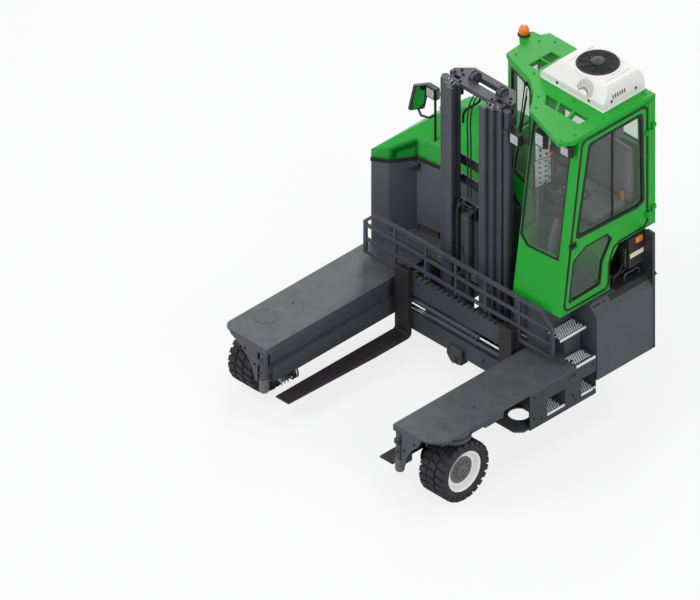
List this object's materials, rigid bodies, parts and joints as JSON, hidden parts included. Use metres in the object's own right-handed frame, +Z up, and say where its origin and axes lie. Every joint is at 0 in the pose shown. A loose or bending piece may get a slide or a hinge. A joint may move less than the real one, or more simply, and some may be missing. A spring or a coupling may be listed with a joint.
{
  "type": "multidirectional forklift",
  "caption": "Three-wheeled multidirectional side-loading forklift with platform arms, reaching mast, load guard, forks and enclosed cab.",
  "frame": {"origin": "on the ground under the middle of the machine", "axes": "+X to the cab side, -Y the way the forks point, +Z up"},
  "size_m": [2.053, 2.189, 2.54],
  "materials": {
    "body_green": "gloss paint",
    "chassis_grey": "satin powder coat",
    "fork_black": "satin paint",
    "rim_white": "gloss paint",
    "steel": "machined",
    "chrome_rod": "hard chrome",
    "tread_aluminium": "embossed",
    "tyre_black": "matt",
    "cast_black": "painted casting",
    "cab_glass": "tinted",
    "seat_vinyl": "woven and vinyl",
    "dark_plastic": "grained",
    "white_plastic": "moulded",
    "orange_plastic": "translucent moulded"
  },
  "bodies": {
    "chassis": {"chassis_frame": "chassis_grey", "left_arm": "chassis_grey", "right_arm": "chassis_grey", "step_panel": "chassis_grey", "step_treads": "tread_aluminium", "fuel_tank": "chassis_grey", "rear_panel": "chassis_grey", "service_box": "dark_plastic", "cab_base": "chassis_grey", "counterweight": "cast_black", "hood_body": "chassis_grey", "engine_block": "cast_black", "cab_frame": "body_green", "cab_roof": "body_green", "cab_windows": "cab_glass", "seat_base": "dark_plastic", "seat_cushions": "seat_vinyl", "controls": "dark_plastic", "ac_case": "white_plastic", "ac_fan_guard": "dark_plastic", "beacon": "orange_plastic", "work_lamps": "dark_plastic"},
    "hood": {"hood_lid": "body_green", "mirror": "dark_plastic"},
    "door": {"door_frame": "body_green", "door_glass": "cab_glass", "door_handle": "dark_plastic"},
    "steering": {"steering_wheel": "dark_plastic"},
    "left_steer": {"left_knuckle": "cast_black"},
    "left_roll": {"left_wheel_tyre": "tyre_black", "left_wheel_rim": "rim_white"},
    "right_steer": {"right_knuckle": "cast_black"},
    "right_roll": {"right_wheel_tyre": "tyre_black", "right_wheel_rim": "rim_white"},
    "rear_steer": {"rear_knuckle": "cast_black"},
    "rear_roll": {"rear_wheel_tyre": "tyre_black", "rear_wheel_rim": "rim_white"},
    "reach": {"reach_frame": "chassis_grey", "mast_outer": "chassis_grey", "lift_cylinders": "chassis_grey"},
    "middle_mast": {"mast_middle": "chassis_grey", "lift_rods": "chrome_rod"},
    "inner_mast": {"mast_inner": "chassis_grey", "free_lift_cylinder": "chassis_grey"},
    "carriage": {"lift_carriage": "chassis_grey", "positioner_rods": "chrome_rod", "load_guard": "chassis_grey"},
    "left_fork_body": {"left_fork": "fork_black"},
    "right_fork_body": {"right_fork": "fork_black"},
    "left_guide": {"left_guide_roller": "steel"},
    "right_guide": {"right_guide_roller": "steel"}
  },
  "joints": [
    {"name": "mast_reach", "type": "slide", "parent": "chassis", "child": "reach", "axis": [0, -1, 0], "range_m": [0, 1.1]},
    {"name": "middle_lift", "type": "slide", "parent": "reach", "child": "middle_mast", "axis": [0, 0, 1], "range_m": [0, 1.3]},
    {"name": "inner_lift", "type": "slide", "parent": "middle_mast", "child": "inner_mast", "axis": [0, 0, 1], "range_m": [0, 1.3]},
    {"name": "carriage_lift", "type": "slide", "parent": "inner_mast", "child": "carriage", "axis": [0, 0, 1], "range_m": [-0.04, 1.2]},
    {"name": "left_fork_shift", "type": "slide", "parent": "carriage", "child": "left_fork_body", "axis": [1, 0, 0], "range_m": [0, 0.28]},
    {"name": "right_fork_shift", "type": "slide", "parent": "carriage", "child": "right_fork_body", "axis": [-1, 0, 0], "range_m": [0, 0.28]},
    {"name": "hood_hinge", "type": "hinge", "parent": "chassis", "child": "hood", "pos_m": [-0.57, 1.039, 1.238], "axis": [-1, 0, 0], "range_deg": [0, 60]},
    {"name": "door_hinge", "type": "hinge", "parent": "chassis", "child": "door", "pos_m": [0.936, 1.075, 1.8], "axis": [0, 0, 1], "range_deg": [0, 95]},
    {"name": "steering_turn", "type": "hinge", "parent": "chassis", "child": "steering", "pos_m": [0.672, 0.52, 1.725], "axis": [0, 0.342, 0.9397], "range_deg": [-540, 540]},
    {"name": "left_guide_spin", "type": "hinge", "parent": "chassis", "child": "left_guide", "pos_m": [-0.645, -1.038, 0.3], "axis": [0, 0, 1], "continuous": true},
    {"name": "right_guide_spin", "type": "hinge", "parent": "chassis", "child": "right_guide", "pos_m": [0.645, -1.038, 0.3], "axis": [0, 0, 1], "continuous": true},
    {"name": "left_steering", "type": "hinge", "parent": "chassis", "child": "left_steer", "pos_m": [-0.9065, -0.788, 0.5], "axis": [0, 0, 1], "range_deg": [-100, 100]},
    {"name": "left_wheel_spin", "type": "hinge", "parent": "left_steer", "child": "left_roll", "pos_m": [-0.9065, -0.788, 0.2285], "axis": [1, 0, 0], "continuous": true},
    {"name": "right_steering", "type": "hinge", "parent": "chassis", "child": "right_steer", "pos_m": [0.9065, -0.788, 0.5], "axis": [0, 0, 1], "range_deg": [-100, 100]},
    {"name": "right_wheel_spin", "type": "hinge", "parent": "right_steer", "child": "right_roll", "pos_m": [0.9065, -0.788, 0.2285], "axis": [1, 0, 0], "continuous": true},
    {"name": "rear_steering", "type": "hinge", "parent": "chassis", "child": "rear_steer", "pos_m": [0, 0.715, 0.5], "axis": [0, 0, 1], "range_deg": [-100, 100]},
    {"name": "rear_wheel_spin", "type": "hinge", "parent": "rear_steer", "child": "rear_roll", "pos_m": [0, 0.715, 0.2795], "axis": [1, 0, 0], "continuous": true}
  ],
  "couplings": [
    {"joint": "inner_lift", "follows": "middle_lift", "ratio": 1}
  ]
}
